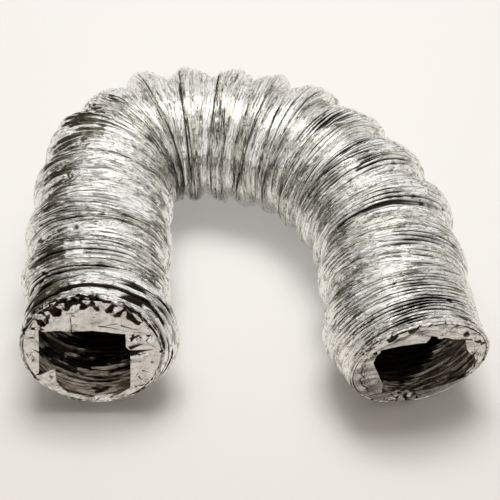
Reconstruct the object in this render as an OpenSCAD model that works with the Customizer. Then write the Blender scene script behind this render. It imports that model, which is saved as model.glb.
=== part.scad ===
// Flexible foil air duct, pressed together and laid in a U.
// Two foil plies hold a spring wire between them. The duct is built as a chain of
// bunches: short stretches of pleats that stay together while the duct bends and
// stretches at the seams between them. X runs from the left mouth to the right one,
// both mouths face -Y, Z is up, and the duct stands on Z = 0.

/* [Bore] */
// Clear bore of the lining, for a nominal 100 mm spigot
bore_d = 101; // [97:0.5:102]
// Straight stretch inside each mouth that seats on a spigot
cuff_len = 22; // [16:1:24]

/* [Wall] */
// Thickness of one foil ply with its crumples
ply_t = 0.4; // [0.3:0.05:0.6]
// Diameter of the spring wire
wire_d = 0.8; // [0.6:0.1:0.8]
// Air between the wire and each ply
wire_air = 0.1; // [0.08:0.01:0.2]

/* [Pleats] */
// Pleat pitch along the middle of the pressed duct
pitch = 5; // [5:0.1:5.4]
// Height of a pleat from its valley to its crest
pleat_h = 3; // [1.6:0.1:3.6]
// How far the middle of a bunch stands out past its ends
swell = 2; // [0:0.2:3]
// Sides of a pleat ring
sides = 16; // [12:2:16]
// Air between two bunches at their seam
seam = 0.5; // [0.4:0.05:0.8]
// Depth of the flats that the duct stands on
flat = 0.5; // [0.3:0.1:0.8]

/* [Route] */
// X of the left mouth's centre
left_mouth_x = -122.3; // [-140:0.1:-110]
// Y of the left mouth's centre
left_mouth_y = -138; // [-150:1:-120]
// Heading of the duct behind the left mouth, turned from +X
left_heading = 90; // [80:1:95]
// How far the left mouth leans back
left_lean = 14; // [4:1:16]

/* [Turned-in ends] */
// Air between the margin and the end of the cuff, and between two flaps
margin_air = 0.4; // [0.3:0.1:0.6]
// Reach of the left mouth's flaps: top, left, bottom and right
left_flaps = [31, 11, 7, 22]; // [6:1:36]
// Reach of the right mouth's flaps: top, left, bottom and right
right_flaps = [21, 16, 14, 11]; // [6:1:36]

/* [Hidden] */
// Each bunch from the left mouth to the right: its pleats, its bend in degrees, the side
// it bends to (90 up, 180 right), and how far it stands to the left of the one before it
bunches = [
    [9, left_lean, 90, 0],
    [8, 1, 180, 1],
    [10, 1, 180, 2.5],
    [8, 5, 180, 2.5],
    [6, 25, 180, 0.5],
    [6, 25, 180, -0.5],
    [5, 20.5, 180, 0.5],
    [6, 17, 180, -1],
    [6, 10.5, 180, 1],
    [6, 8, 180, -1],
    [6, 14, 180, 1],
    [8, 14, 180, 1.5],
    [9, 15, 180, -1],
    [7, 13, 180, 1],
    [10, 8, 180, 1],
    [13, 8, 0, 1]
];
count = len(bunches);
last = count - 1;

fine = 96;
inner_r = bore_d / 2;
lining_r = inner_r + ply_t;
wire_r = lining_r + wire_air + wire_d / 2;
sleeve_r = wire_r + wire_d / 2 + wire_air;
// the foil margins are turned in over the wire
margin_r = wire_r;
// how far a cutter runs past what it cuts
over = 1;
// flat sides lie nearer the middle than corners, so the corners stand out by this factor
corner = 1 / cos(180 / sides);
valley_r = (sleeve_r + ply_t) * corner;
crest_r = valley_r + pleat_h;
centre_z = (crest_r + swell) / corner - flat;

function numbered(kind, k) = str(kind, k < 9 ? "_0" : "_", k + 1);

// Rigid moves as matrices
function move(v) = [[1, 0, 0, v.x], [0, 1, 0, v.y], [0, 0, 1, v.z], [0, 0, 0, 1]];
function turn_x(a) = [[1, 0, 0, 0], [0, cos(a), -sin(a), 0], [0, sin(a), cos(a), 0], [0, 0, 0, 1]];
function turn_y(a) = [[cos(a), 0, sin(a), 0], [0, 1, 0, 0], [-sin(a), 0, cos(a), 0], [0, 0, 0, 1]];
function turn_z(a) = [[cos(a), -sin(a), 0, 0], [sin(a), cos(a), 0, 0], [0, 0, 1, 0], [0, 0, 0, 1]];
function place(m, v) = [for (i = [0:2]) (m * [v.x, v.y, v.z, 1])[i]];
function unit(v) = v / norm(v);

// A bunch's length, its straight stretch at a mouth, and the radius that it bends on
function long(k) = bunches[k][0] * pitch;
function bend(k) = bunches[k][1];
function lead(k) = k == 0 ? cuff_len : 0;
function tail(k) = k == last ? cuff_len : 0;
function arc(k) = long(k) - lead(k) - tail(k);
function bend_r(k) = arc(k) / bend(k) * 180 / PI;

// The frame at distance s along bunch k from its start: X along the duct, Z up
function along(k, s) =
    let (
        b = bend(k) == 0 ? 0 : bend(k) * (min(max(s, lead(k)), lead(k) + arc(k)) - lead(k)) / arc(k),
        before = min(s, lead(k)),
        after = max(s - lead(k) - arc(k), 0),
        round_bend = bend(k) == 0
            ? move([s - before - after, 0, 0])
            : move([bend_r(k) * sin(b), bend_r(k) * (1 - cos(b)), 0]) * turn_z(b)
    )
    turn_x(bunches[k][2]) * move([before, 0, 0]) * round_bend
        * move([after, 0, 0]) * turn_x(-bunches[k][2]);

// The left mouth leans back, so its middle is lifted by what its bunch climbs
lift = cuff_len * sin(left_lean) + (left_lean == 0 ? 0 : bend_r(0) * (1 - cos(left_lean)));
start = move([left_mouth_x, left_mouth_y, centre_z + lift]) * turn_z(left_heading) * turn_y(left_lean);
frames = [for (k = 0, m = start; k < count;
    m = m * along(k, long(k)) * move([seam, k < last ? bunches[k + 1][3] : 0, 0]), k = k + 1) m];

// One ring of a bunch's pleats, square to the duct, with a flat side down
function ring(k, s, r) =
    let (m = frames[k] * along(k, s))
    [for (j = [0:sides - 1])
        let (a = (j + 0.5) * 360 / sides)
        place(m, [0, r * sin(a), -r * cos(a)])];
function swollen(k, s) = swell * sqrt(sin(180 * s / long(k)));

// A closed skin over rings of equal sides
module skin(rings) {
    n = len(rings[0]);
    top = len(rings) - 1;
    polyhedron(
        [for (r = rings, p = r) p],
        concat(
            [[for (j = [0:n - 1]) j]],
            [for (i = [0:top - 1], j = [0:n - 1])
                [i * n + j, (i + 1) * n + j, (i + 1) * n + (j + 1) % n]],
            [for (i = [0:top - 1], j = [0:n - 1])
                [i * n + j, (i + 1) * n + (j + 1) % n, i * n + (j + 1) % n]],
            [[for (j = [n - 1:-1:0]) top * n + j]]
        )
    );
}

// A round bar along bunch k, longer by extra at both ends. At a mouth it starts with the
// straight cuff, so the last bunch is drawn backwards.
module bar(k, r, extra = 0) {
    back = k == last;
    side = back ? 180 - bunches[k][2] : bunches[k][2];
    cuff = lead(k) + tail(k);
    past = extra / bend_r(k) * 180 / PI;
    multmatrix(frames[k] * (back ? along(k, long(k)) * turn_z(180) : move([0, 0, 0])) * turn_x(side)) {
        if (cuff > 0)
            translate([-extra, 0, 0]) rotate([0, 90, 0]) cylinder(r = r, h = cuff + extra, $fn = fine);
        translate([cuff, bend_r(k), 0]) rotate([0, 0, -90 - (cuff > 0 ? 0 : past)])
            rotate_extrude(angle = bend(k) + (cuff > 0 ? 1 : 2) * past, $fn = 2 * fine)
                translate([bend_r(k), 0]) circle(r = r, $fn = fine);
    }
}

// A patch of the floor under bunch k
module under(k) {
    at = place(frames[k], [0, 0, 0]);
    translate([at.x, at.y]) square(4 * bore_d, center = true);
}

// The outer ply of one bunch: pleats outside, a round sleeve inside, flats underneath
module outer_ply(k) {
    n = bunches[k][0];
    color("silver") difference() {
        skin([for (i = [0:2 * n])
            let (s = i * pitch / 2)
            ring(k, s, (i % 2 == 1 ? crest_r : valley_r) + swollen(k, s))]);
        bar(k, sleeve_r, over);
        translate([0, 0, -bore_d]) linear_extrude(bore_d) under(k);
    }
}

// The lining of one bunch
module inner_ply(k) {
    color("gainsboro") difference() {
        bar(k, lining_r);
        bar(k, inner_r, over);
    }
}

// Half a turn of wire from end p to end q, round by the side that points along out
module half_turn(p, q, out) {
    e1 = unit(p - q);
    e2 = unit(out - e1 * (out * e1));
    e3 = cross(e1, e2);
    c = (p + q) / 2;
    multmatrix([for (i = [0:2]) [e1[i], e2[i], e3[i], c[i]]])
        rotate_extrude(angle = 180, $fn = fine)
            translate([norm(p - q) / 2, 0]) circle(d = wire_d, $fn = 16);
}

// The wire of one bunch: one unbroken spring, a turn to a pleat, in half turns
// whose ends meet in short collars
module wire(k) {
    ends = 2 * bunches[k][0] - 1;
    function tip(i) = place(frames[k] * along(k, i * pitch / 2), [0, 0, (i % 2 == 1 ? 1 : -1) * wire_r]);
    function side(i) =
        let (m = frames[k] * along(k, (i + 0.5) * pitch / 2), s = i % 2 == 1 ? 1 : -1)
        [for (a = [0:2]) s * m[a][1]];
    module collar(i) {
        multmatrix(frames[k] * along(k, i * pitch / 2))
            translate([0, 0, (i % 2 == 1 ? 1 : -1) * wire_r]) rotate([90, 0, 0])
                cylinder(d = wire_d + wire_air, h = wire_d, center = true, $fn = 24);
    }
    color("dimgray") for (i = [1:ends - 1]) union() {
        half_turn(tip(i), tip(i + 1), side(i));
        if (i < ends - 1) collar(i + 1);
    }
}

// The least gap between a turn of wire and the next, on points above, below and beside
function on_wire(k, i, v) = place(frames[k] * along(k, i * pitch / 2), wire_r * v);
turn_gap = min([for (k = [0:last], i = [1:2 * bunches[k][0] - 3],
        v = [[0, 0, 1], [0, 0, -1], [0, 1, 0], [0, -1, 0]])
    norm(on_wire(k, i + 2, v) - on_wire(k, i, v))]) - wire_d;
echo(str("least gap between turns of wire: ", turn_gap, " mm"));

// The frame of a mouth as seen from outside: X to the right, Y up, Z out
mouths = [
    frames[0] * [[0, 0, -1, 0], [-1, 0, 0, 0], [0, 1, 0, 0], [0, 0, 0, 1]],
    frames[last] * along(last, long(last)) * [[0, 0, 1, 0], [1, 0, 0, 0], [0, 1, 0, 0], [0, 0, 0, 1]]
];

// One flap of the foil margin turned in across a mouth. Edges are numbered top, left,
// bottom and right, and the top and bottom flaps keep their corners.
module flap(mouth, edge) {
    reach = mouth == 0 ? left_flaps : right_flaps;
    inner = [for (r = reach) margin_r - r];
    big = 2 * margin_r;
    low = edge % 2 == 1 ? -inner[2] + margin_air : inner[edge];
    high = edge % 2 == 1 ? inner[0] - margin_air : big;
    color("whitesmoke") multmatrix(mouths[mouth]) translate([0, 0, margin_air])
        linear_extrude(ply_t) intersection() {
            circle(r = margin_r, $fn = fine);
            if (edge == 0) translate([-big, low]) square([2 * big, big]);
            if (edge == 2) translate([-big, -low - big]) square([2 * big, big]);
            if (edge == 1) translate([-inner[1] - big, low]) square([big, high - low]);
            if (edge == 3) translate([inner[3], low]) square([big, high - low]);
        }
}

for (k = [0:last]) {
    outer_ply(k);
    wire(k);
    inner_ply(k);
}
for (mouth = [0, 1], edge = [0:3])
    flap(mouth, edge);
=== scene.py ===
import math

import bpy
import numpy as np
from bpy.props import FloatProperty, FloatVectorProperty, PointerProperty
from bpy.types import Operator, Panel, PropertyGroup
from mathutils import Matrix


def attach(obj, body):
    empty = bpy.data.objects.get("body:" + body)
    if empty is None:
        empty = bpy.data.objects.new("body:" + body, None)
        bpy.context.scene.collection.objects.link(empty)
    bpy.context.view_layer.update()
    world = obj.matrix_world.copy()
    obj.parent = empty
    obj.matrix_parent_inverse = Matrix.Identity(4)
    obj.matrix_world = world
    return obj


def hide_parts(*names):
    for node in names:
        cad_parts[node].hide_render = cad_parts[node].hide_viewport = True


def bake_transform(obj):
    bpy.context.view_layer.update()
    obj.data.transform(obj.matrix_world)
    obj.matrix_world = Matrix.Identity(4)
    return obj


bl_info = {
    "name": "Flexible foil duct",
    "version": (1, 0, 0),
    "blender": (4, 5, 0),
    "location": "View3D > Sidebar > Duct",
    "description": "Dresses a flexible air duct in crumpled, pleated foil",
    "category": "Object",
}

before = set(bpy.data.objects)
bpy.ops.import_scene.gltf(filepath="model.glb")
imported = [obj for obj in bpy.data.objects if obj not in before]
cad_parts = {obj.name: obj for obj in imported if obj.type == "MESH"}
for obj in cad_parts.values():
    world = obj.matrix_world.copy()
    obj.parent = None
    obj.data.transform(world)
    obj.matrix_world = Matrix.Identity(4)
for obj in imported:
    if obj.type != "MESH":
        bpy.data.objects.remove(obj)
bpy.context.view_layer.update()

# Route of the duct, as its solids have it, in millimetres and degrees: each bunch's pleats,
# its bend, the side that it bends to (90 up, 180 right), and how far it stands to the left
# of the one before it.
BUNCHES = [
    (9, 14, 90, 0),
    (8, 1, 180, 1),
    (10, 1, 180, 2.5),
    (8, 5, 180, 2.5),
    (6, 25, 180, 0.5),
    (6, 25, 180, -0.5),
    (5, 20.5, 180, 0.5),
    (6, 17, 180, -1),
    (6, 10.5, 180, 1),
    (6, 8, 180, -1),
    (6, 14, 180, 1),
    (8, 14, 180, 1.5),
    (9, 15, 180, -1),
    (7, 13, 180, 1),
    (10, 8, 180, 1),
    (13, 8, 0, 1),
]
LAST = len(BUNCHES) - 1
# How dark the shade painted in each bunch's grooves is: little round the bend, where they are pulled open
GROOVE_SHADE = [1, 1, 1, 0.7, 0.22, 0.2, 0.2, 0.22, 0.3, 0.6, 0.85, 1.1, 1.15, 1.1, 1, 1]
# A pleat's length, the gap at a seam, the straight stretch at each mouth, how far the left
# mouth leans back and where it is, the height of the middle line, the radii of the smooth
# backs of the two plies and of the wire's turns, and the wire's thickness
PITCH = 5.0
SEAM = 0.5
CUFF = 22.0
LEAN = 14.0
LEFT_MOUTH = (-122.3, -138.0)
CENTRE_Z = 56.704
SLEEVE_R = 51.9
LINING_R = 50.9
WIRE_R = 51.4
WIRE_D = 0.8
MM = 0.001

# How far along two bunches the step between them is eased out, the lining's radius outside
# its folds, how far the outer foil opens out at its ends, and the radius at which the
# foil's pattern has its true size
SLIP_REACH = 6.0
LINING_CREST_R = 50.6
FLARE = 1.8
PATTERN_R = 57 * MM

# The rolled edge of a mouth: the radius of its middle, that of the roll itself and how far it
# lies behind the mouth's plane. The foil turned in across the mouth starts at FLAP_R.
RIM_R = 53.3
ROLL_R = 2.2
RIM_BACK = 1.5
FLAP_R = 52.2

# The inner edge of each flap of foil turned in across a mouth, in millimetres from the
# mouth's middle as seen from outside, from one place on the rim to the next
FLAPS = {
    "left_flap_top": [
        (-46.5, 21.5), (-39, 22.5), (-13, 21), (3, 23), (19, 19), (33, 18.5), (47.5, 18.5)],
    "left_flap_left": [(-45.3, 23), (-38.5, 23), (-41, 0), (-43, -20), (-44.5, -26.5)],
    "left_flap_bottom": [
        (-45.5, -24.5), (-30, -18), (-31, -32), (-24, -43), (-9, -48.5), (14, -46), (27, -38),
        (38.5, -34.5)],
    "left_flap_right": [
        (37, -36.5), (27, -38.5), (29, -11), (30, 0), (26.5, 4), (27, 20), (46.5, 21)],
    "right_flap_top": [
        (-44, 27), (-34, 30), (-21, 32), (1, 31), (4, 39), (8, 40), (14, 32), (22, 29), (35, 27),
        (44, 26.5)],
    "right_flap_left": [
        (-42, 30.5), (-34, 31), (-38, 13), (-33, -3), (-27, -22), (-27, -33), (-36, -37)],
    "right_flap_bottom": [(-37.5, -35.5), (-26, -33), (-14, -35), (5, -38), (30, -33), (43, -28.5)],
    "right_flap_right": [
        (42, -31), (40, -28), (40, -22), (46, -9), (37, 10), (33, 24), (34, 29), (42.5, 29.5)],
}
# Where the middle of each flap is, in degrees round the mouth
MIDDLES = {"top": 90, "left": 180, "bottom": 270, "right": 0}
# How crumpled each flap is, from smooth at 0, which also sets how much shade is painted on it
CRUMPLED = {
    "left_flap_top": 0.7, "left_flap_left": 0.35, "left_flap_bottom": 0.8, "left_flap_right": 0.8,
    "right_flap_top": 0.2, "right_flap_left": 0.4, "right_flap_bottom": 0.45, "right_flap_right": 0.6,
}
# Where a flap is crumpled the most: the middle and radius of that patch, where the right mouth's bottom
# flap also gets more painted shade
CRINKLED = {
    "left_flap_top": (-40, 27, 9), "left_flap_right": (37, 7, 11), "left_flap_bottom": (4, -49, 10),
    "right_flap_top": (14, 37, 8), "right_flap_bottom": (-8, -41, 14),
}
# Sharp folds, painted as dark wedges of shade that open out from a tip: the tip's place, the wedge's
# heading, length and width
PAINTED_FOLDS = {
    "left_flap_top": [
        (-13, 40, 268, 22, 1.1), (30, 21, 165, 24, 1.2), (39, 22, 160, 16, 1.4),
        (8, 26, 12, 14, 1.0)],
    "left_flap_left": [(-50, 14, 0, 8, 1.2), (-46, 4, -40, 8, 2.0), (-48, -12, 60, 5, 1.2)],
    "left_flap_right": [
        (48, 2, 190, 19, 4.2), (44, 10, 205, 17, 3.8), (40, 19, 215, 12, 3.4),
        (38, -3, 165, 10, 3.2), (30, 10, 70, 9, 2.2), (43, -22, 160, 6, 1.4),
        (37, -31, 120, 6, 1.4)],
    "right_flap_top": [(-38, 33, 20, 24, 1.0), (30, 34, 160, 12, 1.2), (-10, 42, 190, 14, 0.9)],
    "right_flap_left": [(-50, 6, -60, 14, 1.2), (-44, -16, -50, 10, 1.2)],
    "right_flap_right": [(47, 12, 250, 14, 1.4), (44, -4, 255, 16, 1.4)],
}
# Where a torn edge curls under and a dark line of painted shadow runs along it, as shares of its length
CURL_SHADOW = {"right_flap_bottom": (0.42, 1), "right_flap_right": (0, 0.5)}
# How dark the painted shade is in the creases that run round inside each mouth's rim, and how far in from
# the first each of them lies and how wide it is
RING_SHADE = {"left": 0.35, "right": 0.9}
RINGS = [(0, 0.8), (2.2, 0.45), (3.8, 0.5), (6, 0.4)]

# How finely the foil is folded: rows to a pleat and columns round the duct
OUTER_ROWS = 8
OUTER_COLUMNS = 256
LINING_ROWS = 4
LINING_COLUMNS = 180
# One pleat of the outer foil row by row, from groove to groove: how deep it lies, with a
# lesser groove half way. Then one of the lining: how far it stands into the duct.
OUTER_PLEAT = [1.0, 0.4, 0.0, 0.35, 0.75, 0.35, 0.05, 0.45]
LINING_PLEAT = [1.0, 0.15, 0.55, 0.1]
# How many dents the foil has, and how finely each flap is divided along its edge and inwards
PITS = 620
FLAP_ACROSS = 200
FLAP_DEEP = 60


# ------------------------ the route

def move(x, y, z):
    m = np.eye(4)
    m[:3, 3] = (x, y, z)
    return m


def turn(axis, degrees):
    c, s = math.cos(math.radians(degrees)), math.sin(math.radians(degrees))
    m = np.eye(4)
    i, j = [(1, 2), (2, 0), (0, 1)]["XYZ".index(axis)]
    m[i, i] = m[j, j] = c
    m[i, j], m[j, i] = -s, s
    return m


def long(k):
    return BUNCHES[k][0] * PITCH


def lead(k):
    return CUFF if k == 0 else 0.0


def arc(k):
    return long(k) - lead(k) - (CUFF if k == LAST else 0.0)


def bend_radius(k):
    return arc(k) / math.radians(BUNCHES[k][1])


def along(k, s):
    """The frame at distance s along bunch k from its start: X along the duct, Z up."""
    side, radius = BUNCHES[k][2], bend_radius(k)
    before = min(s, lead(k))
    turned = min(max(s - lead(k), 0.0), arc(k)) / radius
    after = max(s - lead(k) - arc(k), 0.0)
    bent = move(radius * math.sin(turned), radius * (1 - math.cos(turned)), 0)
    return (turn("X", side) @ move(before, 0, 0) @ bent @ turn("Z", math.degrees(turned))
            @ move(after, 0, 0) @ turn("X", -side))


def bunch_frames():
    lift = CUFF * math.sin(math.radians(LEAN)) + bend_radius(0) * (1 - math.cos(math.radians(LEAN)))
    m = move(*LEFT_MOUTH, CENTRE_Z + lift) @ turn("Z", 90) @ turn("Y", LEAN)
    found = []
    for k in range(len(BUNCHES)):
        found.append(m)
        slip = BUNCHES[k + 1][3] if k < LAST else 0
        m = m @ along(k, long(k)) @ move(SEAM, slip, 0)
    return found


FRAMES = bunch_frames()
STARTS = np.cumsum([0.0] + [long(k) + SEAM for k in range(LAST)])


def slip_at(k, s):
    """How far the foil leans sideways at a seam, so that two shifted bunches meet."""
    ahead = BUNCHES[k + 1][3] if k < LAST else 0.0
    behind = BUNCHES[k][3] if k > 0 else 0.0
    near_end = max(0.0, 1 - (long(k) - s) / SLIP_REACH) ** 2
    near_start = max(0.0, 1 - s / SLIP_REACH) ** 2
    return ahead / 2 * near_end - behind / 2 * near_start


# ------------------------ crumpled foil

def eased(share):
    return share * share * (3 - 2 * share)


def angles(columns):
    """Angles that go once round in equal steps."""
    return np.arange(columns) / columns * 2 * np.pi


def drawn_out(table, columns):
    """A table's cells drawn out smoothly to the columns round the duct, row by row."""
    cells = table.shape[1]
    u = np.arange(columns) / columns * cells
    cell = u.astype(int)
    share = eased(u - cell)
    return table[:, cell % cells] * (1 - share) + table[:, (cell + 1) % cells] * share


def noise(columns, v, cells, seed):
    """Smooth random numbers from -1 to 1 round the duct and along it: cells round, one cell
    to a unit of v."""
    v = np.asarray(v, float) - min(v) + 1
    table = np.random.default_rng(seed).uniform(-1, 1, (int(v.max()) + 3, cells))
    table = drawn_out(table, columns)
    cell = v.astype(int)
    share = eased(v - cell)[:, None]
    return table[cell] * (1 - share) + table[cell + 1] * share


class Rows:
    """Every row of a pleated sheet from the left mouth to the right one: its bunch k, how far
    along the duct it is at, which part of a pleat it is, and how far the nearer end is."""

    def __init__(self, per_pleat, columns):
        self.per_pleat = per_pleat
        self.columns = columns
        # each column's angle, from the bottom up the outer side of the U
        self.angle = angles(columns)
        self.k = np.concatenate([[k] * (BUNCHES[k][0] * per_pleat + 1) for k in range(LAST + 1)])
        rows = np.concatenate([np.arange(BUNCHES[k][0] * per_pleat + 1) for k in range(LAST + 1)])
        along_bunch = rows * PITCH / per_pleat
        self.at = along_bunch + STARTS[self.k]
        self.part = rows % per_pleat
        self.fold = (self.at // (PITCH / 2)).astype(int)
        self.first = np.array([np.argmax(self.k == k) for k in range(LAST + 1)])
        self.end = np.minimum(self.at, self.at[-1] - self.at)
        self.on_left = self.at < self.at[-1] / 2
        lengths = np.array([long(k) for k in self.k])
        # down the right leg the bunches are fullest towards the mouth, as if hung one over the next
        skew = np.where(self.k >= 8, 1.5, 1.0) * np.where(self.k == LAST, 0.5, 1.0)
        self.swell = np.maximum(np.sin(np.pi * (along_bunch / lengths) ** skew), 0) ** 0.9
        self.places = np.array([FRAMES[k] @ along(k, s) @ move(0, slip_at(k, s), 0)
                                for k, s in zip(self.k, along_bunch)])

    def of_bunch(self, values):
        """One value for each bunch, given to all of its rows."""
        return np.array(values)[self.k][:, None]

    def noise(self, length, cells, seed):
        """Smooth random numbers from -1 to 1: one cell to this length along the duct."""
        return noise(self.columns, self.at / length, cells, seed)

    def fold_noise(self, cells, seed):
        """Smooth random numbers from -1 to 1 round the duct, another set for each fold."""
        table = np.random.default_rng(seed).uniform(-1, 1, (self.fold.max() + 2, cells))
        return drawn_out(table, self.columns)[self.fold]

    def crowd(self, radius):
        """How far apart the pleats stand: 1 on a straight stretch, less inside a bend and more
        round the outside of it."""
        side = self.of_bunch(np.radians([bunch[2] for bunch in BUNCHES]))
        inward = np.sin(self.angle) * np.cos(side) - np.cos(self.angle) * np.sin(side)
        curve = self.of_bunch([1 / bend_radius(k) for k in range(LAST + 1)])
        return np.clip(1 - curve * radius * inward, 0.08, 2)

    def shape(self, radius, shift):
        """Points in millimetres at radius round each row's middle, moved along the duct by shift."""
        m = self.places
        return (m[:, None, :3, 3] + m[:, None, :3, 0] * (shift * self.crowd(radius))[:, :, None]
                + m[:, None, :3, 1] * (radius * np.sin(self.angle))[:, :, None]
                + m[:, None, :3, 2] * (radius * -np.cos(self.angle))[:, :, None])


def settle(points, floor=0.25, give=1.6):
    """Foil that would lie under the floor is pressed flat on it."""
    z = points[:, :, 2]
    low = floor + give * np.exp(np.minimum(z - floor - give, 0) / give)
    points[:, :, 2] = np.where(z < floor + give, low, z)
    return points


def crest_radius(rows, foil):
    """How far out the pleats reach: each bunch is fuller in its middle, some more than others."""
    fuller = np.random.default_rng(10).uniform(0.85, 1.08, LAST + 1)[rows.k]
    crest = foil.end_radius / MM + foil.swell / MM * (fuller * rows.swell)[:, None] + np.zeros(rows.columns)
    # the wall opens out a little to meet its rolled edge
    return crest + FLARE * np.exp(-(rows.end / 5) ** 2)[:, None]


def pleat_depth(rows):
    """How deep each point lies in its pleat, from 0 on a crest to 1 in a groove. The grooves
    half way are more uneven than the others."""
    uneven = rows.fold_noise(cells=11, seed=11)
    half_way = (rows.part == OUTER_ROWS // 2)[:, None]
    depth = np.array(OUTER_PLEAT)[rows.part][:, None]
    return np.clip(depth * np.where(half_way, 1.0 + 0.75 * uneven, 1.0 + 0.35 * uneven), 0.0, 1.3)


def outer_sheet(foil):
    """Points of the outer ply and the shade painted on them: bright folds of uneven height between sharp
    grooves.
    """
    rows = Rows(OUTER_ROWS, OUTER_COLUMNS)
    crest = crest_radius(rows, foil)
    # where a bend crowds the pleats or pulls them apart, their grooves are shallower
    crowd = rows.crowd(crest)
    # from 0 where the duct bends at a radius of 188 mm or more to 1 where it bends at 75 mm
    bent = rows.of_bunch(np.clip([(75 / bend_radius(k) - 0.4) / 0.6 for k in range(LAST + 1)], 0, 1))
    groove = foil.groove / MM * (1 - np.clip(np.abs(crowd - 1), 0, 0.6) * 0.7)
    uneven = np.minimum(rows.fold_noise(cells=15, seed=12), 0.3)
    tall = np.random.default_rng(13).uniform(-1, 1, rows.fold.max() + 2)[rows.fold][:, None]
    dent = np.minimum(rows.noise(length=13, cells=22, seed=14), 0.4)
    crease = 0.5 - np.abs(rows.noise(length=3.1, cells=44, seed=16)) * 1.6
    bulge = off_centre(rows, foil.bulge / MM)
    lap, tuck = [amount * (1 - 0.65 * bent) for amount in laps(rows)]
    # the two ends are kept round, to meet the rolled edges, and elsewhere the folds are
    # uneven, taller or shorter, dented and creased by up to these millimetres
    keep = np.clip(rows.end / 2.5, 0, 1)[:, None]
    radius = (crest - groove * pleat_depth(rows)
              + keep * (0.75 * uneven + 0.6 * tall + 0.7 * dent + 0.35 * crease)
              + bulge + foil.lap / MM * lap - 1.6 * tuck)
    # foil that a bend pulls open shows its small folds
    spread = np.clip(crowd - 1, 0, 0.8) * bent
    small = np.abs(rows.noise(length=1.5, cells=64, seed=26))
    radius = radius - keep * (pits(rows) + 1.3 * spread * small)
    shift = keep * (foil.wander / MM * rows.noise(length=14, cells=6, seed=17)
                    + 1.3 * rows.noise(length=7, cells=9, seed=18)
                    + 0.35 * rows.noise(length=5, cells=30, seed=19))
    shift = shift + fan(rows, foil.fan / MM) + 2.2 * lap
    radius = np.maximum(radius, SLEEVE_R + 0.25)
    points = settle(rows.shape(radius, shift))
    # painted shade: the further a point lies below its crest, the darker it is painted
    painted_shade = np.clip((crest + bulge + 0.2 - radius) / (foil.groove / MM), 0, 1)
    return rows, points * MM, darkened(rows, painted_shade, crowd, spread * np.clip(small - 0.3, 0, 1), tuck)


def darkened(rows, painted_shade, crowd, opened, tuck):
    """The shade painted on each point of the outer ply, from how deep it lies, what a bend opens and what
    is tucked under."""
    grooves = rows.of_bunch(GROOVE_SHADE)
    # light gets into pleats that a bend spreads, and those it closes have no depth
    painted_shade = painted_shade * (1 - np.clip(np.abs(crowd - 1), 0, 0.45)) * grooves
    # the legs of the U light each other's inner sides
    outer_side = np.sin(rows.angle)
    painted_shade = painted_shade * np.where(outer_side > 0, 1 + 0.15 * outer_side, 1 + 0.35 * outer_side)
    # near the mouths the shade painted in the grooves is deeper, more so at the left mouth
    mouth_shade = np.where(rows.on_left, 0.8, 0.45) * np.exp(-(rows.end / 26) ** 2)
    painted_shade = painted_shade * (1 + mouth_shade)[:, None] + 1.3 * opened
    # painted shade: dark streaks run round behind the left mouth and where the foil is tucked under
    streaks = np.clip(rows.fold_noise(cells=15, seed=25) + 0.1, 0, 1)
    painted_shade = painted_shade + 1.5 * streaks * np.exp(-((rows.at - 6) / 16) ** 2)[:, None]
    streaks = 0.7 + 0.8 * rows.fold_noise(cells=13, seed=23)
    return np.minimum(painted_shade + 0.6 * grooves ** 2 * tuck * streaks, 1.3)


def off_centre(rows, reach):
    """Each bunch bulges to one side more than to the others, most of them to the outer side
    of the U or upwards."""
    rng = np.random.default_rng(24)
    side = np.pi * 0.62 + rng.uniform(-0.9, 0.9, LAST + 1)
    amount = rng.uniform(0.2, 1, LAST + 1)
    # the bunches at the mouths stand out to the inner side
    at_mouths = [0, LAST - 1, LAST]
    side[at_mouths] = -np.pi / 2
    amount[at_mouths] = (1.1, 0.6, 1.3)
    return reach * (amount[rows.k] * rows.swell)[:, None] * np.cos(rows.angle - rows.of_bunch(side))


def laps(rows):
    """Where the last pleats of a bunch stand out over the next one, and where the pleats
    after them are tucked under: each from 0 to 1, on one side of every seam."""
    rng = np.random.default_rng(22)
    lap = np.zeros((len(rows.k), rows.columns))
    tuck = np.zeros_like(lap)
    for k in range(1, LAST + 1):
        side, way = rng.uniform(-1.9, 1.9) + np.pi, rng.choice((-1, 1))
        amount = rng.uniform(0.5, 1.0) * np.clip(0.25 + np.cos(rows.angle - side), 0, 1) ** 0.7
        away = (rows.at - STARTS[k]) * way
        lap += amount * np.exp(-((away + 4.0) / 2.6) ** 2)[:, None]
        tuck += amount * np.exp(-((away - 1.0) / 2.2) ** 2)[:, None]
    return lap, tuck


def fan(rows, reach):
    """The pleats of each bunch lean over to one side, most at its middle."""
    lean = rows.of_bunch(np.random.default_rng(20).uniform(0, 2 * np.pi, LAST + 1))
    return reach * rows.swell[:, None] ** 4 * np.cos(rows.angle - lean)


def pits(rows):
    """Small dents where the foil is nipped between two pleats, most of them near a seam."""
    rng = np.random.default_rng(21)
    found = np.zeros((len(rows.k), rows.columns))
    a = np.arange(rows.columns) / rows.columns * 360
    for n in range(PITS):
        at, middle = rng.uniform(8, rows.at[-1] - 8), rng.uniform(0, 360)
        if n % 3:
            at = STARTS[rng.integers(1, LAST + 1)] + rng.normal(0, 4)
        wide, tall, deep = rng.uniform(1, 3.6), rng.uniform(0.5, 1.2), rng.uniform(0.8, 2.8)
        near = np.where(np.abs(rows.at - at) < 3 * tall)[0]
        d = (a - middle + 180) % 360 - 180
        found[near] += deep * np.exp(-(d / wide) ** 2 - ((rows.at[near] - at) / tall)[:, None] ** 2)
    return found


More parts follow.
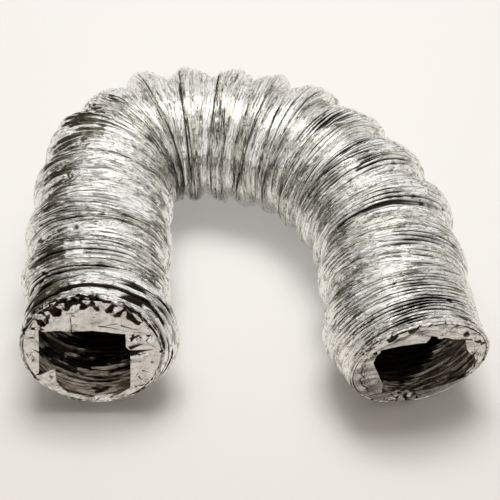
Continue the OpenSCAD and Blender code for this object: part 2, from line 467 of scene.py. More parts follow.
def lining_sheet(foil):
    """Points of the inner ply, whose folds point into the duct, and the shade painted on them."""
    rows = Rows(LINING_ROWS, LINING_COLUMNS)
    fold = foil.lining_fold / MM
    height = np.array(LINING_PLEAT)[rows.part][:, None]
    keep = np.clip(rows.end / 2, 0, 1)[:, None]
    uneven = rows.fold_noise(cells=12, seed=31)
    crease = np.abs(rows.noise(length=1.8, cells=50, seed=32))
    fine = rows.noise(length=1.3, cells=70, seed=35)
    radius = LINING_CREST_R - keep * (fold * height * (1 + 0.8 * uneven) + 0.6 * crease + 0.5 * fine)
    radius = np.minimum(radius, LINING_R - 0.2)
    shift = keep * (1.5 * rows.noise(length=9, cells=8, seed=33)
                    + 0.8 * rows.noise(length=5, cells=20, seed=34))
    # painted shade: where the lining lies back towards the wall, between its folds, it is painted darker
    painted_shade = 1 - np.clip((LINING_CREST_R + 0.2 - radius) / fold, 0, 1)
    # light gets further in on the outer side of the U than on the others, and further in at
    # the left mouth, which leans back, than at the right one
    left = rows.on_left[:, None]
    outer_side = np.maximum(np.sin(rows.angle), 0)
    reach = np.where(left, 30, 16) + np.where(left, 70, 55) * outer_side ** 2
    # painted shade: past that reach the lining is painted darker, down to the unlit colour
    painted_shade = painted_shade + 2.2 * np.clip((rows.end[:, None] - reach) / 12, 0, 1)
    return rows, rows.shape(radius, shift) * MM, painted_shade


def sleeve(rows, radius):
    """A smooth wall of one radius behind a pleated sheet, and which of its rows are kept: one
    at each pleat."""
    even = np.full((len(rows.k), rows.columns), radius)
    return np.where(rows.part == 0)[0], rows.shape(even, np.zeros_like(even)) * MM


def crumple(x, y, folds, size, seed):
    """Height of foil that was folded and opened again: facets between straight creases."""
    rng = np.random.default_rng(seed)
    x, y = x + 0.12 * size * np.sin(y / size * 2.3), y + 0.12 * size * np.sin(x / size * 1.9)
    height = np.zeros(np.broadcast(x, y).shape)
    for _ in range(folds):
        a, wave, slope = rng.uniform(0, math.pi), size * rng.uniform(0.5, 1.6), rng.uniform(0.08, 0.3)
        t = (x * math.cos(a) + y * math.sin(a)) / wave + rng.uniform()
        height += (np.abs(t % 1 - 0.5) - 0.25) * wave * slope
    return height


def painted_dark_patches(x, y, size, seed, share):
    """Angular patches of painted shade on crumpled foil, from 0 to 1, over about this share of it."""
    height = crumple(x, y, 6, size, seed)
    rank = np.argsort(np.argsort(height, axis=None)).reshape(height.shape) / height.size
    return np.clip((rank - 1 + share) / 0.05, 0, 1)


def wedges(x, y, folds):
    """Painted shade of sharp folds, each a dark wedge from its tip: 0 to 1."""
    dark = np.zeros(x.shape)
    for tip_x, tip_y, heading, length, width in folds:
        c, s = math.cos(math.radians(heading)), math.sin(math.radians(heading))
        ahead = ((x - tip_x) * c + (y - tip_y) * s) / length
        aside = np.abs((y - tip_y) * c - (x - tip_x) * s)
        inside = np.clip((width / 2 * ahead - aside) / 0.3 + 0.6, 0, 1)
        dark = np.maximum(dark, inside * (ahead > 0) * (ahead < 1))
    return dark


def small_folds(x, y, count, seed):
    """Short wedges at places and headings drawn from the seed."""
    rng = np.random.default_rng(seed)
    found = []
    for _ in range(count):
        i, j = rng.integers(x.shape[0]), rng.integers(x.shape[1])
        found.append((x[i, j], y[i, j], rng.uniform(0, 360), rng.uniform(2, 7), rng.uniform(0.4, 1.3)))
    return found


# ------------------------ mesh helpers

def select_none():
    bpy.ops.object.select_all(action="DESELECT")


def select_only(piece):
    select_none()
    piece.select_set(True)
    bpy.context.view_layer.objects.active = piece


def reshaped(name, points, painted_shade):
    """The primitive just added, with its name, its points' places and the shade painted on each."""
    piece = bpy.context.object
    piece.name = piece.data.name = name
    piece.data.vertices.foreach_set("co", points.astype(np.float32).ravel())
    depth = piece.data.attributes.new("painted_shade", "FLOAT", "POINT")
    depth.data.foreach_set("value", painted_shade.astype(np.float32).ravel())
    piece.data.update()
    return piece


def closed_wall(name, wall, uv, painted_shade):
    """A wall whose points run round the duct and, in each column, out along the sheet and
    back behind it. It is closed both ways, so it starts as a torus."""
    across, round_ = wall.shape[:2]
    select_none()
    bpy.ops.mesh.primitive_torus_add(major_segments=round_, minor_segments=across,
                                     major_radius=0.05, minor_radius=0.01, generate_uvs=False)
    piece = reshaped(name, wall.transpose(1, 0, 2), painted_shade.T)
    mesh = piece.data
    layer = mesh.uv_layers.new(name="foil")
    corner = np.zeros(len(mesh.loops), np.int32)
    mesh.loops.foreach_get("vertex_index", corner)
    column, row = corner // across, corner % across
    u, v = uv[0][column], uv[1][row]
    # the last column's faces run back to the first one, where the pattern has gone once round
    faces = column.reshape(-1, 4)
    wraps = np.repeat(faces.max(1) - faces.min(1) > round_ / 2, 4) & (column < round_ / 2)
    u = np.where(wraps, u + 2 * math.pi * PATTERN_R, u)
    layer.data.foreach_set("uv", np.stack([u, v], 1).astype(np.float32).ravel())
    mesh.update()
    return piece


def outward(piece):
    """Turns the faces outwards."""
    select_only(piece)
    bpy.ops.object.mode_set(mode="EDIT")
    bpy.ops.mesh.select_all(action="SELECT")
    bpy.ops.mesh.normals_make_consistent(inside=False)
    bpy.ops.object.mode_set(mode="OBJECT")


def dress(piece, material, sharp=50):
    """Smooths a piece but for folds sharper than this angle, and gives it its material."""
    select_only(piece)
    bpy.ops.object.shade_smooth_by_angle(angle=math.radians(sharp))
    piece.data.materials.append(material)


def stretches():
    """Each piece of the wall: its name, its first and last bunch and pleat, and its bodies."""
    middle = [BUNCHES[k][0] // 2 for k in range(LAST + 1)]
    found = [("left_end", (0, 0), (0, middle[0]), ["bunch_01"])]
    for k in range(LAST):
        name = f"{k + 1:02d}_{k + 2:02d}"
        bodies = [f"bunch_{k + 1:02d}", f"bunch_{k + 2:02d}"]
        found.append((name, (k, middle[k]), (k + 1, middle[k + 1]), bodies))
    found.append(("right_end", (LAST, middle[LAST]), (LAST, BUNCHES[LAST][0]), [f"bunch_{LAST + 1:02d}"]))
    return found


def ride_or_blend(piece, bodies, first_ring, last_ring, heading):
    """A piece at an end rides on its bunch. A piece over a seam keeps its place, baked into its points."""
    if len(bodies) == 1:
        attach(piece, bodies[0])
        return
    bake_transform(piece)


def seam_heading(k):
    return (FRAMES[k] @ along(k, long(k)))[:3, 0]


def walls(kind, sheet, back_radius, material, node):
    """One closed wall for each stretch of the duct."""
    rows, points, painted_shade = sheet
    kept, back = sleeve(rows, back_radius)
    u = rows.angle * PATTERN_R
    for name, (k0, p0), (k1, p1), bodies in stretches():
        first = rows.first[k0] + p0 * rows.per_pleat
        last = rows.first[k1] + p1 * rows.per_pleat
        behind = kept[(kept >= first) & (kept <= last)][::-1]
        wall = np.concatenate([points[first:last + 1], back[behind]])
        v = np.concatenate([rows.at[first:last + 1], rows.at[behind]]) * MM
        # the smooth wall behind the sheet is painted in full shade
        dark = np.concatenate([painted_shade[first:last + 1], np.ones((len(behind), rows.columns))])
        piece = closed_wall(f"{kind}_{name}", wall, (u, v), dark)
        outward(piece)
        dress(piece, material)
        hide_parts(*[f"{node}_{b[-2:]}" for b in bodies])
        ride_or_blend(piece, bodies, points[first], points[last], seam_heading(k0))


def mouth_frame(side):
    """The frame of a mouth as seen from outside: X to the right, Y up, Z out."""
    if side == "left":
        return FRAMES[0] @ np.array([[0, 0, -1, 0], [-1, 0, 0, 0], [0, 1, 0, 0], [0, 0, 0, 1.0]])
    last = FRAMES[LAST] @ along(LAST, long(LAST))
    return last @ np.array([[0, 0, 1, 0], [1, 0, 0, 0], [0, 1, 0, 0], [0, 0, 0, 1.0]])


def at_mouth(side, x, y, z):
    """Points in metres from places in a mouth's frame."""
    m = mouth_frame(side)
    return (m[:3, 3] + x[..., None] * m[:3, 0] + y[..., None] * m[:3, 1] + z[..., None] * m[:3, 2]) * MM


def flap_points(name, seed):
    """Places of a flap's points in its mouth's plane, from the rim in to its torn edge, and
    each one's share of the way along the edge and in from the rim."""
    edge = np.array(FLAPS[name], float)
    length = np.append(0, np.cumsum(np.hypot(*np.diff(edge, axis=0).T)))
    middle = MIDDLES[name.split("_")[2]]
    ends = np.degrees(np.arctan2(edge[[0, -1], 1], edge[[0, -1], 0]))
    first, last = (ends - middle + 180) % 360 - 180
    t = np.linspace(0, 1, FLAP_ACROSS)
    w = np.linspace(0, 1, FLAP_DEEP)[:, None]
    a = np.radians(middle + first + (last - first) * t)
    torn = 1 - 0.012 * np.random.default_rng(seed).uniform(0, 1, FLAP_ACROSS) * np.sin(np.pi * t)
    inner = [np.interp(t * length[-1], length, edge[:, i]) * torn for i in (0, 1)]
    x = FLAP_R * np.cos(a) * (1 - w) + inner[0] * w
    y = FLAP_R * np.sin(a) * (1 - w) + inner[1] * w
    return x, y, t, w


def ring_creases(x, y, seed):
    """Painted shade of creases that run round inside a mouth's rim, each fainter than the one outside it.
    """
    r, around = np.hypot(x, y), np.arctan2(y, x)
    ring = (47.5 + 1.3 * np.sin(3 * around + seed) + 0.8 * np.sin(11 * around + 2 * seed)
            + 0.5 * np.sin(29 * around))
    strength = np.clip(np.sin(4.3 * around + seed) + 0.3 * np.sin(19 * around) + 0.3, 0, 1)
    dark = np.zeros(x.shape)
    for n, (inward, wide) in enumerate(RINGS):
        crease = np.exp(-((r - ring + inward) / wide) ** 2)
        dark = np.maximum(dark, (1 - 0.15 * n) * np.roll(strength, 14 * n, 1) * crease)
    return dark


def flap_darkness(name, x, y, t, w, near_rim, patch, seed):
    """The shade painted on a flap's folds, creases and curled edge, with greyer patches as painted
    reflection: 0 on smooth foil.
    """
    side = name.split("_")[0]
    # painted shade: dark angular patches, most near the top of the rim, and on the right mouth's bottom
    # flap also in its crinkled patch
    dark = painted_dark_patches(x, y, 11, seed + 30, CRUMPLED[name] * (0.05 + 0.75 * near_rim))
    if name == "right_flap_bottom":
        dark = np.maximum(dark, 0.8 * painted_dark_patches(x, y, 5, seed + 70, 0.45 * patch))
    # painted shade of sharp folds: dark wedges, the listed ones and ten small ones at random
    dark = np.maximum(dark, wedges(x, y, PAINTED_FOLDS.get(name, [])))
    dark = np.maximum(dark, 0.8 * wedges(x, y, small_folds(x, y, 10, seed + 80)))
    # painted shadow: a dark line where the torn edge curls under
    if name in CURL_SHADOW:
        low, high = CURL_SHADOW[name]
        dark = np.maximum(dark, 1.2 * np.clip((w - 0.74) / 0.05, 0, 1) * (t > low) * (t < high))
    # painted shade of the creases that run round inside the rim
    dark = np.maximum(dark, RING_SHADE[side] * ring_creases(x, y, seed))
    # painted reflection: angular patches are a little greyer, standing in for facets that mirror something
    # darker
    grey = 0.12 if side == "left" else 0.25
    return dark + grey * (painted_dark_patches(x, y, 10, seed + 50, 0.4) + painted_dark_patches(x, y, 5, seed + 60, 0.25))


def flap(name, material):
    """One flap of the foil margin, from the rim to its torn inner edge."""
    seed = 40 + list(FLAPS).index(name)
    x, y, t, w = flap_points(name, seed)
    r = np.hypot(x, y)
    # the foil is crumpled more near the top of the rim and in its own patch
    near_rim = np.clip((r - 41) / 6, 0, 1) * np.clip(y / 38, 0, 1) ** 2
    patch_x, patch_y, patch_r = CRINKLED.get(name, (0, 0, 1))
    patch = np.exp(-((x - patch_x) ** 2 + (y - patch_y) ** 2) / patch_r ** 2)
    rough = CRUMPLED[name] * (0.45 + 1.6 * near_rim) + 1.6 * patch
    z = rough * (crumple(x, y, 5, 16, seed) + 0.5 * crumple(x, y, 4, 6, seed + 20))
    # the top and bottom flaps lie over the corners of the other two
    level = 0.95 if name.endswith(("top", "bottom")) else 0.5
    z = level + z * np.clip((FLAP_R - r) / 3, 0.15, 1)
    points = at_mouth(name.split("_")[0], x, y, np.maximum(z, -0.4))
    select_none()
    bpy.ops.mesh.primitive_grid_add(x_subdivisions=FLAP_ACROSS - 1, y_subdivisions=FLAP_DEEP - 1, size=1)
    piece = reshaped(f"foil_{name}", points, flap_darkness(name, x, y, t, w, near_rim, patch, seed))
    bpy.ops.object.modifier_add(type="SOLIDIFY")
    piece.modifiers[-1].thickness = 0.2 * MM
    piece.modifiers[-1].offset = 0
    bpy.ops.object.modifier_apply(modifier=piece.modifiers[-1].name)
    outward(piece)
    dress(piece, material, sharp=20)
    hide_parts(name)
    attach(piece, name)


def rim(side, body, material):
    """The rolled edge where the outer foil turns in at a mouth."""
    round_, tube = 256, 20
    a, b = np.meshgrid(angles(round_), angles(tube), indexing="ij")
    # the roll laid out flat, in millimetres round the mouth and round the roll
    around, across = 53.4 * a, 2.6 * b
    # the left mouth's edge is rolled loosely and the right one's tightly
    seed, loose = (60, 1.0) if side == "left" else (64, 0.5)
    pinch, sway, uneven = [noise(round_, [0], cells, seed + more)[0][:, None]
                           for cells, more in ((26, 2), (14, 4), (40, 5))]
    wrinkle = crumple(around, across, 6, 8, seed) + 0.9 * crumple(around, across, 4, 4, seed + 1)
    top = np.clip(np.sin(a), 0, 1)
    ridge = np.cos(5 * b + 1.6 * sway)
    radius = (ROLL_R + loose * (0.4 + 0.6 * top) * wrinkle + 0.4 * pinch
              + (0.6 - 0.3 * loose) * ridge)
    # painted shade: dark folds in front, small ones all round and in the grooves between the ridges
    front = np.clip(0.5 + np.sin(b) - 0.5 * np.cos(b), 0, 1)
    share = front * (0.08 + 0.62 * top ** 2 if side == "left" else 0.1)
    small = painted_dark_patches(around, across, 4, seed + 6, 0.2 + 0.3 * loose)
    dark = painted_dark_patches(around, across, 6, seed + 3, share) + (0.15 + 0.5 * loose) * small
    groove = np.clip(-0.2 - ridge, 0, 0.35 + 0.45 * loose) * (1 + uneven)
    ring = RIM_R + radius * np.cos(b)
    points = at_mouth(side, ring * np.cos(a), ring * np.sin(a), radius * np.sin(b) - RIM_BACK)
    points[..., 2] = np.maximum(points[..., 2], 0.4 * MM)
    select_none()
    bpy.ops.mesh.primitive_torus_add(major_segments=round_, minor_segments=tube, major_radius=0.05,
                                     minor_radius=0.01)
    piece = reshaped(f"rim_{side}", points, np.maximum(dark, groove))
    outward(piece)
    dress(piece, material, sharp=20)
    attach(piece, body)


def spring(name, k0, p0, k1, p1, bodies, material):
    """The wire's turns along one stretch, one turn to a pleat."""
    steps = 24
    points = []
    for k in range(k0, k1 + 1):
        low = p0 if k == k0 else 0
        high = p1 if k == k1 else BUNCHES[k][0]
        for i in range(low * steps, high * steps + 1):
            at = FRAMES[k] @ along(k, i * PITCH / steps)
            a = 2 * math.pi * i / steps
            points.append((at @ (0, WIRE_R * math.sin(a), -WIRE_R * math.cos(a), 1))[:3] * MM)
    line = bpy.data.curves.new(name, "CURVE")
    line.dimensions = "3D"
    line.bevel_depth = WIRE_D / 2 * MM
    line.bevel_resolution = 1
    line.use_fill_caps = True
    spline = line.splines.new("POLY")
    spline.points.add(len(points) - 1)
    spline.points.foreach_set("co", np.array([(*p, 1) for p in points], np.float32).ravel())
    piece = bpy.data.objects.new(name, line)
    bpy.context.scene.collection.objects.link(piece)
    select_only(piece)
    bpy.ops.object.convert(target="MESH")
    piece = bpy.context.object
    dress(piece, material)
    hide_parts(*[f"wire_{b[-2:]}" for b in bodies])
    return piece


# ------------------------ finishes

def linear(hex_colour):
    """An sRGB hex colour as linear red, green, blue and alpha."""
    parts = [int(hex_colour[i:i + 2], 16) / 255 for i in (1, 3, 5)]
    return tuple(c / 12.92 if c <= 0.04045 else ((c + 0.055) / 1.055) ** 2.4 for c in parts) + (1.0,)


def add_node(tree, kind, inputs=(), **settings):
    """A shader node with its settings, each input set to a value or linked to an output, or
    to another node's first output in use."""
    node = tree.nodes.new(f"ShaderNode{kind}")
    for name, value in settings.items():
        setattr(node, name, value)
    for socket, value in dict(inputs).items():
        if isinstance(value, bpy.types.Node):
            value = next(output for output in value.outputs if output.enabled)
        if isinstance(value, bpy.types.NodeSocket):
            tree.links.new(value, node.inputs[socket])
        else:
            node.inputs[socket].default_value = value
    return node


def new_material(name):
    material = bpy.data.materials.new(name)
    material.use_nodes = True
    tree = material.node_tree
    tree.nodes.clear()
    return material, tree


def hairlines(tree, pattern, level, width, dark):
    """Hairline creases painted as dark lines of shade, as dark as this, where a noise pattern passes one
    value.
    """
    line = add_node(tree, "TexNoise", pattern)
    line = add_node(tree, "Math", {0: line, 1: level, 2: width}, operation="COMPARE")
    return add_node(tree, "Math", {0: line, 1: dark}, operation="MULTIPLY")


def bare_metal(material, base, sheen, bump=None):
    """Gives a material the surface of bare metal, with its colour, roughness and bumps."""
    tree = material.node_tree
    metal = add_node(tree, "BsdfPrincipled", {"Base Color": base, "Metallic": 1.0, "Roughness": sheen})
    if bump:
        tree.links.new(bump.outputs["Normal"], metal.inputs["Normal"])
    add_node(tree, "OutputMaterial", {0: metal})
    return material


def crumpled_foil(name, crest, groove, unlit, rough, crinkle, hairs):
    """Aluminium foil laminate, rolled bright and crumpled by hand: mirror-like folds with hazy patches. The
    shade in its grooves and creases is painted, darkest where hardly any light gets in."""
    material, tree = new_material(name)
    place = add_node(tree, "UVMap", uv_map="foil")
    # the patterns' cells to a metre, round the duct and along it: creases of 12 by 1.2 mm, haze
    # of 26 by 8 mm and hairlines between cells down to 10 by 1.6 mm, as coarse as they need to show
    stretched = {scale: add_node(tree, "Mapping", {0: place, 3: scale})
                 for scale in ((80, 800, 1), (38, 120, 1), hairs, (95, 620, 1))}
    creases = add_node(tree, "TexNoise", {0: stretched[(80, 800, 1)], "Scale": 1.0, "Detail": 2.5,
                                          "Roughness": 0.55})
    haze = add_node(tree, "TexNoise", {0: stretched[(38, 120, 1)], "Scale": 1.0, "Detail": 2.0})
    # painted shade: the shade given to each point mixes the folds' colour towards the grooves' one
    depth = add_node(tree, "Attribute", attribute_name="painted_shade").outputs["Fac"]
    dark = add_node(tree, "MapRange", {0: depth, 1: 0.34, 2: 0.92}, interpolation_type="SMOOTHSTEP")
    # painted shade of hairline creases: long ones run round the duct, and short ones between them
    long_creases = hairlines(tree, {0: stretched[hairs], "Scale": 1.0, "Detail": 2.0, "Distortion": 0.4},
                             0.5, 0.018, 0.55)
    short_creases = hairlines(tree, {0: stretched[(95, 620, 1)], "Scale": 1.0, "Detail": 1.0},
                              0.44, 0.018, 0.45)
    creased = add_node(tree, "Math", {0: long_creases, 1: short_creases}, operation="MAXIMUM")
    dark = add_node(tree, "Math", {0: dark, 1: creased}, operation="MAXIMUM")
    base = add_node(tree, "Mix", {0: dark, 6: crest, 7: groove}, data_type="RGBA")
    # where hardly any light gets in, the foil is nearly black
    deep = add_node(tree, "MapRange", {0: depth, 1: 1.2, 2: 2.2})
    base = add_node(tree, "Mix", {0: deep, 6: base, 7: unlit}, data_type="RGBA")
    sheen = add_node(tree, "MapRange", {0: haze, 1: 0.3, 2: 0.7, 3: rough[0], 4: rough[1]})
    bump = add_node(tree, "Bump", {"Height": creases, "Strength": crinkle, "Distance": 1.2 * MM})
    return bare_metal(material, base, sheen, bump)


def turned_foil(bright, folded):
    """The same laminate where it is folded flat at a mouth: bright, with handling marks of 2 to 3 mm and
    hazy clouds of 17 mm, and painted shade in its folds and hairline creases."""
    material, tree = new_material("turned_in_foil_laminate")
    place = add_node(tree, "TexCoord").outputs["Object"]
    marks = add_node(tree, "TexNoise", {0: place, "Scale": 420.0, "Detail": 3.0})
    cloud = add_node(tree, "TexNoise", {0: place, "Scale": 60.0, "Detail": 2.0})
    sheen = add_node(tree, "MapRange", {0: cloud, 1: 0.3, 2: 0.7, 3: 0.1, 4: 0.26})
    bump = add_node(tree, "Bump", {"Height": marks, "Strength": 0.25, "Distance": 0.6 * MM})
    # painted shade: the shade given to each point, and the hairline creases below, darken the bright colour
    # towards the folded one
    fold = add_node(tree, "Attribute", attribute_name="painted_shade").outputs["Fac"]
    creases = hairlines(tree, {0: place, "Scale": 75.0, "Detail": 3.0, "Distortion": 0.6}, 0.5, 0.012, 0.14)
    dark = add_node(tree, "Math", {0: fold, 1: creases}, operation="MAXIMUM")
    base = add_node(tree, "Mix", {0: dark, 6: bright, 7: folded}, data_type="RGBA")
    return bare_metal(material, base, sheen, bump)


def spring_steel(grey):
    """Drawn spring steel: grey with a low, long gloss, and a grain of about a millimetre."""
    material, tree = new_material("drawn_spring_steel")
    place = add_node(tree, "TexCoord").outputs["Object"]
    grain = add_node(tree, "TexNoise", {0: place, "Scale": 900.0, "Detail": 2.0})
    sheen = add_node(tree, "MapRange", {0: grain, 3: 0.3, 4: 0.5})
    return bare_metal(material, grey, sheen)


# ------------------------ settings

def metres(name, description, default):
    """A size in metres for a property group."""
    return FloatProperty(name=name, description=description, default=default, unit="LENGTH")


def colour(name, description, default):
    """A colour for a property group, from its sRGB hex value."""
    return FloatVectorProperty(name=name, description=description, default=linear(default),
                               subtype="COLOR", size=4, min=0, max=1)


class DUCT_PG_foil(PropertyGroup):
    """Sizes of the foil's folds."""
    end_radius: metres("End radius", "Radius over the folds at a seam", 0.0525)
    swell: metres("Swell", "How far the middle of a bunch stands out", 0.0082)
    groove: metres("Groove", "Depth of a groove between two folds", 0.0031)
    wander: metres("Wander", "How far a fold strays along the duct", 0.0026)
    bulge: metres("Bulge", "How far a bunch stands off the middle line", 0.0042)
    lap: metres("Lap", "How far a bunch stands out over the next one", 0.0032)
    fan: metres("Fan", "How far the pleats of a bunch lean over", 0.0042)
    lining_fold: metres("Lining fold", "Height of the lining's folds", 0.0016)


class DUCT_PG_finish(PropertyGroup):
    """Colours of the foil and the wire, and of the shade painted on the foil."""
    crest: colour("Outer folds", "Colour of the outer foil's folds", "#F3F2EE")
    # the colour of the shade painted in the outer foil's grooves
    groove: colour("Outer grooves", "Colour between the outer foil's folds", "#282119")
    lining: colour("Lining folds", "Colour of the lining's folds", "#9C9284")
    # the colour of the shade painted in the lining's grooves
    lining_groove_shade: colour("Lining grooves", "Colour between the lining's folds", "#2A221A")
    unlit: colour("Unlit foil", "Colour where hardly any light gets in", "#0F0C09")
    turned: colour("Turned-in foil", "Colour of the foil across the mouths", "#E2DED8")
    # the colour of the shade painted in the turned-in foil's folds and creases
    folded: colour("Folded under", "Colour of that foil where it is folded under", "#211A13")
    wire: colour("Wire", "Colour of the spring wire", "#8D8D8F")


class DUCT_PG_stage(PropertyGroup):
    """The floor, lamps and camera."""
    camera_place: FloatVectorProperty(name="Camera", description="Place of the camera", size=3,
                                      default=(-0.0013, -0.6034, 0.7806), unit="LENGTH")
    camera_pitch: FloatProperty(name="Pitch", description="How far the camera looks down",
                                default=math.radians(51.75), subtype="ANGLE")
    lens: FloatProperty(name="Lens", description="Focal length on a 36 mm sensor", default=79.9,
                        unit="CAMERA")
    room_light: FloatProperty(name="Room light", description="Strength of the light from all round",
                              default=0.25, min=0, max=1, subtype="FACTOR")
    lamp_power: FloatProperty(name="Lamps", description="Power of the softbox and the bare lamp",
                              default=29.0, unit="POWER")


# ------------------------ the stage

def seen_directly(tree):
    """1 for what the camera sees, straight or in metal or glass, and 0 for what lights a matt
    surface."""
    path = add_node(tree, "LightPath").outputs
    seen = path["Is Camera Ray"]
    for ray in ("Is Glossy Ray", "Is Transmission Ray"):
        seen = add_node(tree, "Math", {0: seen, 1: path[ray]}, operation="MAXIMUM")
    return seen


def paper_floor():
    """Matt white paper. It shows its shadows before the mouths and is evenly white far from the duct.
    Further back a glow is painted on it, which pales its shadows there as if the foil threw light on it."""
    select_none()
    bpy.ops.mesh.primitive_plane_add(size=12)
    floor = bpy.context.object
    floor.name = "floor"
    material, tree = new_material("matt_white_paper")
    paper = add_node(tree, "BsdfPrincipled", {"Base Color": linear("#F2EFEA"), "Roughness": 0.9})
    even = add_node(tree, "Emission", {"Color": linear("#F6F4F0"), "Strength": 1.0})
    place = add_node(tree, "TexCoord").outputs["Object"]
    away = add_node(tree, "VectorMath", {0: place}, operation="LENGTH").outputs["Value"]
    away = add_node(tree, "MapRange", {0: away, 1: 0.6, 2: 2.0})
    # painted light: from y = -0.18 m back to the middle the floor glows more, standing in for light that
    # the foil throws there
    back = add_node(tree, "SeparateXYZ", {0: place}).outputs["Y"]
    back = add_node(tree, "MapRange", {0: back, 1: -0.18, 2: 0.0, 3: 0.02, 4: 0.3},
                    interpolation_type="SMOOTHSTEP")
    share = add_node(tree, "Math", {0: away, 1: back}, operation="MAXIMUM")
    share = add_node(tree, "Math", {0: seen_directly(tree), 1: share}, operation="MULTIPLY")
    both = add_node(tree, "MixShader", {0: share, 1: paper, 2: even})
    add_node(tree, "OutputMaterial", {0: both})
    floor.data.materials.append(material)


def add_camera(stage):
    camera = bpy.data.cameras.new("camera")
    camera.lens = stage.lens
    camera.sensor_width = 36
    holder = bpy.data.objects.new("camera", camera)
    holder.location = stage.camera_place
    holder.rotation_euler = (math.pi / 2 - stage.camera_pitch, 0, 0)
    bpy.context.scene.collection.objects.link(holder)
    bpy.context.scene.camera = holder


def white_sweep(stage):
    """The white room that the foil mirrors. What it throws into the shadows is weaker and a
    little warmer."""
    world = bpy.data.worlds.new("white_sweep")
    bpy.context.scene.world = world
    world.use_nodes = True
    tree = world.node_tree
    tree.nodes.clear()
    seen = seen_directly(tree)
    level = add_node(tree, "Mix", {0: seen, 2: stage.room_light, 3: 1.0})
    tint = add_node(tree, "Mix", {0: seen, 6: linear("#F4EBE0"), 7: linear("#FBFAF8")}, data_type="RGBA")
    sweep = add_node(tree, "Background", {"Color": tint, "Strength": level})
    add_node(tree, "OutputWorld", {0: sweep})


def add_lamps(stage):
    """A wide softbox that the foil mirrors, and a smaller lamp below it that it doesn't."""
    for name, wide, deep, place, share in (("softbox", 1.6, 1.2, (0.0, 0.45, 1.8), 0.36),
                                           ("bare_lamp", 0.8, 0.6, (0.03, 0.46, 1.7), 0.64)):
        lamp = bpy.data.lights.new(name, "AREA")
        lamp.shape = "RECTANGLE"
        lamp.size, lamp.size_y = wide, deep
        lamp.energy = stage.lamp_power * share
        holder = bpy.data.objects.new(name, lamp)
        holder.location = place
        holder.rotation_euler = (-holder.location).to_track_quat("-Z", "Y").to_euler()
        holder.visible_glossy = name == "softbox"
        bpy.context.scene.collection.objects.link(holder)


def dark_room():
    """The unlit room round the sweep, which only the foil sees: a low wall with an uneven top
    3.2 m away, a card standing 0.55 m to the left and whoever stands behind the camera."""
    # cloth in blotches of two browns, which give the foil its warm dark patches
    material, tree = new_material("unlit_brown_cloth")
    place = add_node(tree, "TexCoord").outputs["Object"]
    blotch = add_node(tree, "TexNoise", {0: place, "Scale": 6.0, "Detail": 2.0})
    tone = add_node(tree, "MapRange", {0: blotch, 1: 0.42, 2: 0.6},
                    interpolation_type="SMOOTHSTEP")
    cloth = add_node(tree, "Mix", {0: tone, 6: linear("#2B2419"), 7: linear("#6E6951")},
                     data_type="RGBA")
    shader = add_node(tree, "BsdfPrincipled", {"Base Color": cloth, "Roughness": 0.9})
    add_node(tree, "OutputMaterial", {0: shader})

    select_none()
    bpy.ops.mesh.primitive_cylinder_add(vertices=96, radius=3.2, depth=1, end_fill_type="NOTHING")
    wall = bpy.context.object
    co = np.zeros(len(wall.data.vertices) * 3, np.float32)
    wall.data.vertices.foreach_get("co", co)
    co = co.reshape(-1, 3)
    a = np.arctan2(co[:, 1], co[:, 0])
    high = 0.3 - 0.15 * np.sin(a) + 0.12 * np.sin(5 * a) + 0.08 * np.sin(11 * a + 1)
    co[:, 2] = np.where(co[:, 2] > 0, high, 0.02)
    wall.data.vertices.foreach_set("co", co.ravel())
    select_none()
    bpy.ops.mesh.primitive_grid_add(x_subdivisions=24, y_subdivisions=1, size=1)
    card = bpy.context.object
    x, y = np.linspace(-0.65, 0.2, 25), np.array([0.0, 1.0])
    high = 0.57 + 0.07 * np.sin(17 * x) + 0.04 * np.sin(41 * x)
    points = [(-0.55, along_y, high[i] * up) for up in y for i, along_y in enumerate(x)]
    card.data.vertices.foreach_set("co", np.array(points, np.float32).ravel())
    select_none()
    bpy.ops.mesh.primitive_uv_sphere_add(segments=32, ring_count=16, radius=0.2, location=(0.0, -0.8, 1.04))
    bpy.ops.object.transform_apply(location=True)
    watcher = bpy.context.object
    for name, piece in (("dark_room", wall), ("dark_card", card), ("behind_camera", watcher)):
        piece.name = piece.data.name = name
        piece.data.materials.append(material)
        piece.visible_camera = piece.visible_diffuse = piece.visible_shadow = False


# ------------------------ operators

class DUCT_OT_stage(Operator):
    """Adds the floor, the soft light, the dark room that the foil mirrors and the camera"""
    bl_idname = "duct.stage"
    bl_label = "Stage"

    def execute(self, context):
        stage = context.scene.duct_stage
        paper_floor()
        add_camera(stage)
        white_sweep(stage)
        add_lamps(stage)
        dark_room()
        context.scene.view_settings.view_transform = "Standard"
        return {"FINISHED"}


class DUCT_OT_outer_foil(Operator):
    """Folds the outer ply of foil round the duct"""
    bl_idname = "duct.outer_foil"
    bl_label = "Outer foil"

    def execute(self, context):
        look = context.scene.duct_finish
        material = crumpled_foil("outer_foil_laminate", look.crest, look.groove, look.unlit,
                                 rough=(0.1, 0.28), crinkle=0.55, hairs=(28, 330, 1))
        walls("outer_foil", outer_sheet(context.scene.duct_foil), SLEEVE_R, material,
              node="outer_ply")
        return {"FINISHED"}


class DUCT_OT_lining(Operator):
    """Folds the inner ply of foil inside the duct"""
    bl_idname = "duct.lining"
    bl_label = "Lining"

    def execute(self, context):
        look = context.scene.duct_finish
        material = crumpled_foil("lining_foil_laminate", look.lining, look.lining_groove_shade, look.unlit,
                                 rough=(0.3, 0.5), crinkle=0.75, hairs=(40, 420, 1))
        walls("lining_foil", lining_sheet(context.scene.duct_foil), LINING_R, material,
              node="inner_ply")
        return {"FINISHED"}


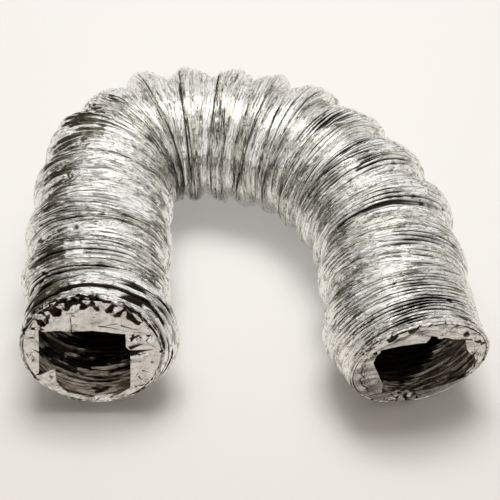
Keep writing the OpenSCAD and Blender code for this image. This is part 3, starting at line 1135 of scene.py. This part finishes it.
class DUCT_OT_springs(Operator):
    """Winds the spring wire between the two plies"""
    bl_idname = "duct.springs"
    bl_label = "Spring wire"

    def execute(self, context):
        material = spring_steel(context.scene.duct_finish.wire)
        for name, (k0, p0), (k1, p1), bodies in stretches():
            piece = spring(f"spring_{name}", k0, p0, k1, p1, bodies, material)
            ends = [(FRAMES[k] @ along(k, p * PITCH))[:3, 3][None] * MM for k, p in ((k0, p0), (k1, p1))]
            ride_or_blend(piece, bodies, *ends, seam_heading(k0))
        return {"FINISHED"}


class DUCT_OT_mouths(Operator):
    """Turns the foil margins in across the two mouths"""
    bl_idname = "duct.mouths"
    bl_label = "Mouths"

    def execute(self, context):
        look = context.scene.duct_finish
        material = turned_foil(look.turned, look.folded)
        for name in FLAPS:
            flap(name, material)
        rim("left", "bunch_01", material)
        rim("right", f"bunch_{LAST + 1:02d}", material)
        return {"FINISHED"}


class DUCT_PT_panel(Panel):
    """Buttons, sizes and colours of the duct"""
    bl_idname = "DUCT_PT_panel"
    bl_label = "Flexible foil duct"
    bl_space_type = "VIEW_3D"
    bl_region_type = "UI"
    bl_category = "Duct"

    def draw(self, context):
        scene = context.scene
        for operator in OPERATORS:
            self.layout.operator(operator.bl_idname)
        for group in (scene.duct_foil, scene.duct_finish, scene.duct_stage):
            box = self.layout.box()
            for name in group.bl_rna.properties.keys():
                if name not in ("rna_type", "name"):
                    box.prop(group, name)


OPERATORS = (DUCT_OT_stage, DUCT_OT_outer_foil, DUCT_OT_lining, DUCT_OT_springs, DUCT_OT_mouths)
CLASSES = (DUCT_PG_foil, DUCT_PG_finish, DUCT_PG_stage, *OPERATORS, DUCT_PT_panel)


def register():
    for cls in CLASSES:
        bpy.utils.register_class(cls)
    bpy.types.Scene.duct_foil = PointerProperty(type=DUCT_PG_foil)
    bpy.types.Scene.duct_finish = PointerProperty(type=DUCT_PG_finish)
    bpy.types.Scene.duct_stage = PointerProperty(type=DUCT_PG_stage)


def unregister():
    del bpy.types.Scene.duct_stage
    del bpy.types.Scene.duct_finish
    del bpy.types.Scene.duct_foil
    for cls in reversed(CLASSES):
        bpy.utils.unregister_class(cls)


def main():
    register()
    bpy.ops.duct.stage()
    bpy.ops.duct.outer_foil()
    bpy.ops.duct.lining()
    bpy.ops.duct.springs()
    bpy.ops.duct.mouths()


if __name__ == "__main__":
    main()
